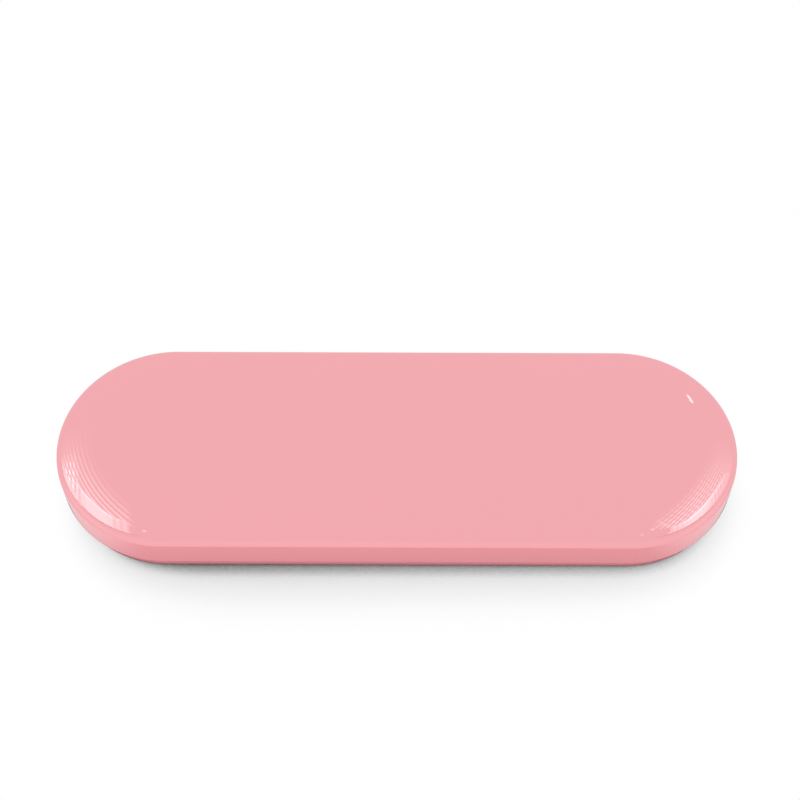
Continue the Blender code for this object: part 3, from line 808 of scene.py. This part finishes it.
def makeLiner():
    middle = case["width"] / 2.0
    edgeInset = middle + linerLow.y
    mouthInset = middle - mirrorHigh.y
    windowInset = mouthInset + liner["frameWidth"]
    frameTop = mirrorLow.z - case["gap"]
    frameUnder = frameTop - liner["thickness"]
    rimTop = case["lidRim"] + liner["thickness"]
    skirtTop = case["lidRim"] + liner["skirtHeight"]
    skirtInner = edgeInset + liner["skirtWall"]
    outerFace = mouthInset - liner["thickness"]
    soft = liner["softEdge"]
    radius = liner["cornerRadius"]
    mouth = bend((mouthInset - soft, case["lidRim"] + soft), soft, 270, 360, 5)
    corner = bend((mouthInset + radius, frameUnder - radius), radius, 180, 90, 10)
    window = bend((windowInset - soft, frameUnder + soft), soft, 270, 360, 5)
    profile = [(skirtInner, skirtTop), (edgeInset, skirtTop), (edgeInset, case["lidRim"])]
    profile += held(profile[-1], mouth[0]) + mouth + held(mouth[-1], corner[0]) + corner
    profile += held(corner[-1], window[0]) + window
    profile += [(windowInset, frameTop), (outerFace, frameTop), (outerFace, rimTop), (skirtInner, rimTop)]
    piece = sweptPiece("lidLiner", profile, linerSkin, closed=True)
    combine(piece, "DIFFERENCE", "linerSwingRoom", swingRoom([(-knuckles["reach"], knuckles["reach"])]))

    # the closing magnets lie on the rim
    magnetLow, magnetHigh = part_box("lid_latch_magnet_left")
    gap, weld = case["gap"], case["weld"]
    top = magnetHigh.z + gap
    depth = (magnetLow.y - 2.0 * gap - pockets["endWall"], outerFace - middle + weld)
    addPockets(piece, "lid", depth, (rimTop - weld, top), (rimTop, top + weld))
    settle(piece)
    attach(piece, "lid")
    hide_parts("lid_liner")


makeLidShell()
makeBaseShell()
makeTray()
makeLiner()


# finishes of the carried-over pieces; the tapes come after the mirror, as their names begin with its name
finishes = {"hold_magnet": nickelMetal, "base_latch_magnet": nickelMetal, "lid_latch_magnet": nickelMetal,
            "hinge_pin": steelMetal, "mirror": mirrorGlass, "mirror_tape": foamTape}
for prefix, finish in finishes.items():
    for name, node in frame["nodes"].items():
        if name.startswith(prefix):
            node.data.materials.clear()
            node.data.materials.append(finish)
print("magnets, pins, mirror and tapes dressed")


# white table, light and camera

def forSeenRays(tree, plain, seen):
    # the second shader is for rays that look straight at it, by reflection or through something clear
    rays = addNode(tree, "ShaderNodeLightPath").outputs
    straight = larger(tree, rays["Is Camera Ray"], rays["Is Glossy Ray"])
    share = larger(tree, straight, rays["Is Transmission Ray"])
    feeds = {0: share, 1: plain.outputs[0], 2: seen.outputs[0]}
    return addNode(tree, "ShaderNodeMixShader", feeds).outputs[0]


def glossyRay(tree):
    return addNode(tree, "ShaderNodeLightPath").outputs["Is Glossy Ray"]


table = {
    "size": 6.0,
    "drop": 0.05 * mm,                    # it lies this far under the case
    "colour": (0.80, 0.80, 0.80),         # as it throws light back
    "glow": 0.56,                         # and the light that it gives off itself: a painted glow that stands in for the lit room
    "nearReach": 18.0 * mm,               # painted shade: colour and glow both fade to nothing near the case
    "paintedPatchEdge": (0.062, 0.092),           # painted shade in reflections: a dark patch along the front where no card lies: half its length, soft ends
    "paintedPatchDepth": (-0.044, -0.052),
    "paintedPatchTone": 0.25,
    # painted shade in reflections: the rest of the table, as gloss sees it
    "paintedReflectionTone": 0.78,
    "paintedUnderShade": 0.05,                    # painted shade in reflections: under the case it is dark
    "paintedUnderShadeEdge": 3.0 * mm,
    "shadowReach": 0.035,
    "shadowSamples": 16,
    "paintedShadowLean": (-0.2126, 0.3249, 1.0),  # the painted shadow's open sky leans to the left and the back
    "shadowSlant": 0.42,                  # the painted shadow is deeper on the left by this much a metre
    "shadowEnd": 0.72,                    # where this much of the sky is open, there is no painted shadow
    "shadowCurve": [(0.0, 0.0), (0.20, 0.10), (0.22, 0.17), (0.242, 0.266), (0.262, 0.356), (0.292, 0.51),
                    (0.31, 0.60), (0.332, 0.68), (0.352, 0.735), (0.376, 0.762), (0.407, 0.81), (0.45, 0.845),
                    (0.50, 0.865), (0.55, 0.90), (0.60, 0.95), (0.66, 0.985), (0.72, 1.0), (1.0, 1.0)],
}


def makeTable():
    bm = bmesh.new()
    bmesh.ops.create_grid(bm, x_segments=1, y_segments=1, size=table["size"] / 2.0)
    bmesh.ops.translate(bm, verts=bm.verts, vec=(0.0, 0.0, cadBounds[0].z - table["drop"]))
    ground = newObject("table", meshFrom("table", bm))
    material, tree, shader, place = newMaterial("tableWhite")

    # how far a point lies from the case's middle line, and the painted shade round the case
    at = axes(tree, place)
    out = calc(tree, "ABSOLUTE", at["X"])
    reach = larger(tree, minus(tree, out, (case["length"] - case["width"]) / 2.0), 0.0)
    squares = calc(tree, "MULTIPLY_ADD", at["Y"], at["Y"], product(tree, reach, reach))
    fromMiddle = calc(tree, "SQRT", squares)
    edge = case["width"] / 2.0
    near = ease(tree, fromMiddle, edge, edge + table["nearReach"])
    clothInPaintedShade = addNode(tree, "ShaderNodeVectorMath", {0: table["colour"], "Scale": near}, operation="SCALE")
    feedNode(tree, shader, {
        "Base Color": clothInPaintedShade.outputs["Vector"], "Roughness": 0.9, "Specular IOR Level": 0.0,
        "Emission Color": (1.0, 1.0, 1.0, 1.0), "Emission Strength": product(tree, near, table["glow"]),
    })

    # what the eye sees of it: white, with a soft neutral painted shadow, drawn from how much of the sky the
    # case hides
    light = Vector(table["paintedShadowLean"]).normalized()
    aim = addNode(tree, "ShaderNodeCombineXYZ", dict(zip("XYZ", light))).outputs["Vector"]
    openSky = addNode(tree, "ShaderNodeAmbientOcclusion", {"Distance": table["shadowReach"], "Normal": aim},
                      samples=table["shadowSamples"]).outputs["AO"]
    slanted = calc(tree, "MULTIPLY_ADD", at["X"], table["shadowSlant"], openSky)
    openShare = larger(tree, slanted, calc(tree, "GREATER_THAN", openSky, table["shadowEnd"]))
    paintedShadow = curved(tree, openShare, table["shadowCurve"])

    # painted shade in reflections: gloss sees the table dimmer, and darkest in a patch along the front and
    # under the case, so that the case's side stays deep in colour
    beyond = larger(tree, ease(tree, out, *table["paintedPatchEdge"]), ease(tree, at["Y"], *table["paintedPatchDepth"]))
    clear = larger(tree, beyond, calc(tree, "GREATER_THAN", at["Y"], 0.0))
    paintedPatch = ease(tree, clear, 0.0, 1.0, table["paintedPatchTone"], table["paintedReflectionTone"])
    under = ease(tree, fromMiddle, edge, edge + table["paintedUnderShadeEdge"], table["paintedUnderShade"], 1.0)
    tone = blend(tree, glossyRay(tree), 1.0, product(tree, paintedPatch, under))
    look = addNode(tree, "ShaderNodeEmission", {"Strength": product(tree, paintedShadow, tone)})
    feedNode(tree, tree.nodes["Material Output"], {"Surface": forSeenRays(tree, shader, look)})
    ground.data.materials.append(material)


# a white tent round the case
room = {
    "colour": (1.0, 1.0, 1.0, 1.0),
    "soft": 1.10,                 # its even light on the object
    "gloss": 0.944,               # how gloss shows it
    "sideGloss": 0.24,            # how much brighter gloss shows it low down, out to both sides
    "sideReach": (0.55, 0.85),
    "frontReach": (0.25, -0.15),
    "white": 1.0,                 # how the eye sees it past the object
}


def makeWorld():
    world = bpy.data.worlds.new("studio")
    bpy.context.scene.world = world
    world.use_nodes = True
    tree = world.node_tree
    tree.nodes.clear()
    aim = axes(tree, addNode(tree, "ShaderNodeTexCoord").outputs["Generated"])
    sides = product(tree, ease(tree, calc(tree, "ABSOLUTE", aim["X"]), *room["sideReach"]),
                    ease(tree, aim["Y"], *room["frontReach"]))
    gloss = calc(tree, "MULTIPLY_ADD", sides, room["sideGloss"], room["gloss"])
    seen = blend(tree, glossyRay(tree), room["white"], gloss)
    light = addNode(tree, "ShaderNodeBackground", {"Color": room["colour"], "Strength": room["soft"]})
    white = addNode(tree, "ShaderNodeBackground", {"Color": room["colour"], "Strength": seen})
    addNode(tree, "ShaderNodeOutputWorld", {"Surface": forSeenRays(tree, light, white)})


# two light panels of small lamps above the case's ends: a solid field, bars and dots, fine lines.
# Places are metres out to the side and back on the panel; a reach is where something starts and is full
panels = {
    "height": 1.0,
    "ambient": 0.95,              # the panel between its lamps, as bright as the tent
    "softness": 0.004,
    "outer": [(0.0, 0.12), (0.25, 0.140), (0.30, 0.150), (0.345, 0.166), (0.43, 0.212), (0.508, 0.27),
              (0.572, 0.345), (0.624, 0.428), (0.676, 0.535), (0.715, 0.72), (1.0, 0.9)],
    "corners": [(0.25, 0.0), (0.42, 0.05), (0.60, 0.14), (0.75, 0.28), (0.86, 0.48), (0.90, 0.72),
                (0.25, 0.72)],
    "frameTone": 0.25,            # a dark frame runs round the outside, but not at these two ends
    "frameStart": (0.33, 0.29),
    "frameEnd": (0.58, 0.66),
    "rimPlace": 0.009,            # a bright rim just inside the field's edge
    "rimWidth": 0.011,
    "rimStart": (0.33, 0.42, 0.3, 1.0),
    "rimEnd": (0.59, 0.53),
    "nearReach": (0.32, 0.42),    # the field's end towards the middle of the case
    "farReach": (0.47, 0.60),
    "barMiddle": 0.45,
    "nearBars": (0.415, 0.375, 0.0, 0.6),
    "farBars": (0.05, 0.85),      # how soon they are full, and how deep they are
    "barCrest": 1.15,             # the field's strength on a bar
    "dotStart": (0.505, 0.565),
    "dotEnd": (0.63, 0.45),
    "dotLines": (0.85, 0.15),     # how much a line counts in a dot, and what is left between lines
    "dotBars": (0.8, 0.2),
    "fanStart": 0.33,
    "fanTurn": (0.57, 0.82),      # the lines' direction
    "lineStart": (0.225, 0.25),
    "crossPitch": 0.026,
    "streakPlace": (0.31, 0.261),
    "streakTurn": (0.75, 0.66),
    "streakWidth": 0.009,
    "streakStart": (0.270, 0.30),
    "streakEnd": (0.345, 0.33),
    "right": {
        "side": 1.0, "strength": 1.65, "nearTone": 0.65, "farTone": 0.55, "rimStrength": 1.5,
        "edge": [(0.0, 0.0), (0.25, 0.0), (0.322, 0.0), (0.336, 0.232), (0.377, 0.262), (0.430, 0.312),
                 (0.482, 0.377), (0.520, 0.425), (0.550, 0.470), (0.575, 0.500), (0.64, 0.505), (0.74, 0.505),
                 (1.0, 0.6)],
        "barStart": 0.490, "barPitch": 0.0208, "barLean": 0.22, "barFrom": 0.47, "dotStrength": 0.0,
        "lineStep": 0.0098, "lineLean": 0.67, "lineBend": 0.15, "lineStrength": 2.5,
        "lineFade": (0.225, 0.335), "lineReach": (0.72, 0.34), "lineFrom": (0.25, 0.30),
        "crossing": 0.5, "streak": 0.6,
    },
    "left": {
        "side": -1.0, "strength": 1.65, "nearTone": 0.6, "farTone": 1.05, "rimStrength": 0.9,
        "edge": [(0.0, 0.0), (0.25, 0.0), (0.318, 0.0), (0.330, 0.262), (0.377, 0.282), (0.415, 0.312),
                 (0.452, 0.347), (0.50, 0.397), (0.539, 0.440), (0.57, 0.455), (0.64, 0.470), (0.74, 0.48),
                 (1.0, 0.6)],
        "barStart": 0.331, "barPitch": 0.0257, "barLean": 0.05, "barFrom": 0.49, "dotStrength": 5.6,
        "lineStep": 0.0142, "lineLean": 0.70, "lineBend": 0.384, "lineStrength": 1.8,
        "lineFade": (0.205, 0.36), "lineReach": (0.76, 0.36), "lineFrom": (0.305, 0.335),
        "crossing": 0.0, "streak": 0.0,
    },
}


def glowingPiece(name, mesh):
    # a piece of the stage that only gloss sees; its glow is added to the tree
    made = newObject(name, mesh)
    made.visible_camera = False
    made.visible_diffuse = False
    material = bpy.data.materials.new(name)
    material.use_nodes = True
    material.node_tree.nodes.clear()
    mesh.materials.append(material)
    return material.node_tree


def setGlow(tree, strength):
    glow = addNode(tree, "ShaderNodeEmission", {"Strength": strength})
    addNode(tree, "ShaderNodeOutputMaterial", {"Surface": glow.outputs[0]})


def wave(tree, value, pitch, low=0.0):
    # 1 on each line and low between them
    half = (1.0 - low) / 2.0
    turns = product(tree, value, 2.0 * math.pi / pitch)
    return calc(tree, "MULTIPLY_ADD", calc(tree, "COSINE", turns), half, 1.0 - half)


def makePanel(name):
    panel = panels[name]
    mesh = bpy.data.meshes.new(name + "Panel")
    corners = [(panel["side"] * x, y, panels["height"]) for x, y in panels["corners"]]
    mesh.from_pydata(corners, [], [tuple(range(len(corners)))])
    tree = glowingPiece(name + "Panel", mesh)
    at = axes(tree, addNode(tree, "ShaderNodeTexCoord").outputs["Object"])
    out = product(tree, at["X"], panel["side"])
    back = at["Y"]

    # the solid field lies outside a curved edge and has a brighter rim there
    beyond = minus(tree, back, curved(tree, out, panel["edge"]))
    field = ease(tree, beyond, panels["softness"], -panels["softness"])
    fromRim = calc(tree, "ABSOLUTE", calc(tree, "ADD", beyond, panels["rimPlace"]))
    rim = product(tree, ease(tree, fromRim, panels["rimWidth"], 0.0),
                  ease(tree, out, *panels["rimStart"]), ease(tree, out, *panels["rimEnd"]),
                  panel["rimStrength"])
    level = product(tree, ease(tree, out, *panels["nearReach"], panel["nearTone"], 1.0),
                    ease(tree, out, *panels["farReach"], 1.0, panel["farTone"]), panel["strength"])

    # bars cross it near both of its ends
    barPlace = calc(tree, "MULTIPLY_ADD", minus(tree, back, panels["barMiddle"]), panel["barLean"], out)
    bars = wave(tree, minus(tree, barPlace, panel["barStart"]), panel["barPitch"])
    soon, depth = panels["farBars"]
    farBars = ease(tree, out, panel["barFrom"], panel["barFrom"] + soon, 0.0, depth)
    depths = larger(tree, ease(tree, out, *panels["nearBars"]), farBars)
    gaps = product(tree, depths, minus(tree, 1.0, bars))
    solid = calc(tree, "ADD", product(tree, level, minus(tree, panels["barCrest"], gaps)), rim)
    solid = product(tree, solid, field)

    # fine lines fan inwards from it, bend a little and fade, with broken lines across them on the right
    rise = minus(tree, back, panels["fanStart"])
    drift = product(tree, rise, calc(tree, "MULTIPLY_ADD", rise, -panel["lineBend"], panel["lineLean"]))
    small, large = panels["fanTurn"]
    across = product(tree, minus(tree, out, drift), large)
    along = calc(tree, "MULTIPLY_ADD", out, small, product(tree, back, large))
    lines = wave(tree, product(tree, across, across), panel["lineStep"])
    lines = product(tree, lines, lines)
    broken = product(tree, lines, wave(tree, along, panels["crossPitch"], 1.0 - panel["crossing"]))
    fine = product(tree, broken, ease(tree, across, *panel["lineFade"]),
                   ease(tree, back, *panel["lineReach"]), ease(tree, out, *panel["lineFrom"]),
                   ease(tree, back, *panels["lineStart"]), panel["lineStrength"])

    # the left field breaks up into dots at its far end, where the lines meet the bars
    dots = product(tree, calc(tree, "MULTIPLY_ADD", lines, *panels["dotLines"]),
                   calc(tree, "MULTIPLY_ADD", bars, *panels["dotBars"]),
                   ease(tree, out, *panels["dotStart"]), ease(tree, back, *panels["dotEnd"]),
                   panel["dotStrength"])
    solid = larger(tree, solid, dots)

    # a short streak crosses the right field's near end
    (streakOut, streakBack), (turnOut, turnBack) = panels["streakPlace"], panels["streakTurn"]
    fromStreak = calc(tree, "MULTIPLY_ADD", minus(tree, out, streakOut), turnOut,
                      product(tree, minus(tree, back, streakBack), turnBack))
    streak = product(tree, ease(tree, calc(tree, "ABSOLUTE", fromStreak), panels["streakWidth"], 0.0),
                     ease(tree, out, *panels["streakStart"]), ease(tree, out, *panels["streakEnd"]),
                     panel["streak"])
    fine = product(tree, larger(tree, fine, streak), minus(tree, 1.0, field))
    both = calc(tree, "ADD", larger(tree, solid, fine), panels["ambient"])

    # the dark frame
    past = minus(tree, back, curved(tree, out, panels["outer"]))
    inside = ease(tree, past, -panels["softness"], 0.0)
    for end in ("frameStart", "frameEnd"):
        inside = larger(tree, inside, ease(tree, out, *panels[end]))
    setGlow(tree, blend(tree, inside, panels["frameTone"], both))


# single lamps that the gloss picks up as points: place, half sizes and turn
speck = {"half": (0.007, 0.007), "turnDeg": 0.0}
lamps = {
    "highlight": {"place": (0.4635, 0.837), "half": (0.009, 0.030), "turnDeg": -2.0, "strength": 3.8},
    "leftSpeck": {"place": (-0.272, 0.207), "strength": 1.9, **speck},
    "rightSpeck": {"place": (0.268, 0.230), "strength": 1.9, **speck},
    "lowSpeck": {"place": (0.234, 0.197), "strength": 1.55, **speck},
}
lampHeight = panels["height"] - 0.01        # just under the panels


def makeLamp(name):
    lamp = lamps[name]
    bm = bmesh.new()
    bmesh.ops.create_circle(bm, cap_ends=True, segments=24, radius=1.0)
    place = Matrix.Translation((*lamp["place"], lampHeight))
    turn = Matrix.Rotation(math.radians(lamp["turnDeg"]), 4, "Z")
    size = Matrix.Diagonal((*lamp["half"], 1.0, 1.0))
    bmesh.ops.transform(bm, matrix=place @ turn @ size, verts=bm.verts)
    setGlow(glowingPiece(name, meshFrom(name, bm)), lamp["strength"])


view = {
    "centre": (0.0, 0.0, 0.010),
    "azimuthDeg": -1.10,
    "elevationDeg": 59.49,
    "distance": 0.4192,
    "aimRight": 0.00113,          # the aim beside and above the centre
    "aimUp": 0.01630,
    "rollDeg": -0.48,
    "lensMm": 70.11,
    "sensorMm": 36.0,
    "clip": (0.01, 20.0),
}


def makeCamera():
    azimuth = math.radians(view["azimuthDeg"])
    elevation = math.radians(view["elevationDeg"])
    level = math.cos(elevation)
    back = Vector((-math.sin(azimuth) * level, -math.cos(azimuth) * level, math.sin(elevation)))
    right = Vector((0.0, 0.0, 1.0)).cross(back).normalized()
    up = back.cross(right)
    centre = Vector(view["centre"])
    place = centre + back * view["distance"]
    aim = centre + right * view["aimRight"] + up * view["aimUp"]
    data = bpy.data.cameras.new("camera")
    data.lens = view["lensMm"]
    data.sensor_width = view["sensorMm"]
    data.clip_start, data.clip_end = view["clip"]
    camera = newObject("camera", data)
    camera.rotation_mode = "QUATERNION"
    camera.location = place
    turn = (aim - place).to_track_quat("-Z", "Y")
    camera.rotation_quaternion = turn @ Matrix.Rotation(math.radians(view["rollDeg"]), 3, "Z").to_quaternion()
    bpy.context.scene.camera = camera


makeTable()
makeWorld()
makePanel("left")
makePanel("right")
for lampName in lamps:
    makeLamp(lampName)
makeCamera()
bpy.context.scene.view_settings.view_transform = "Standard"
print("table, light and camera set")
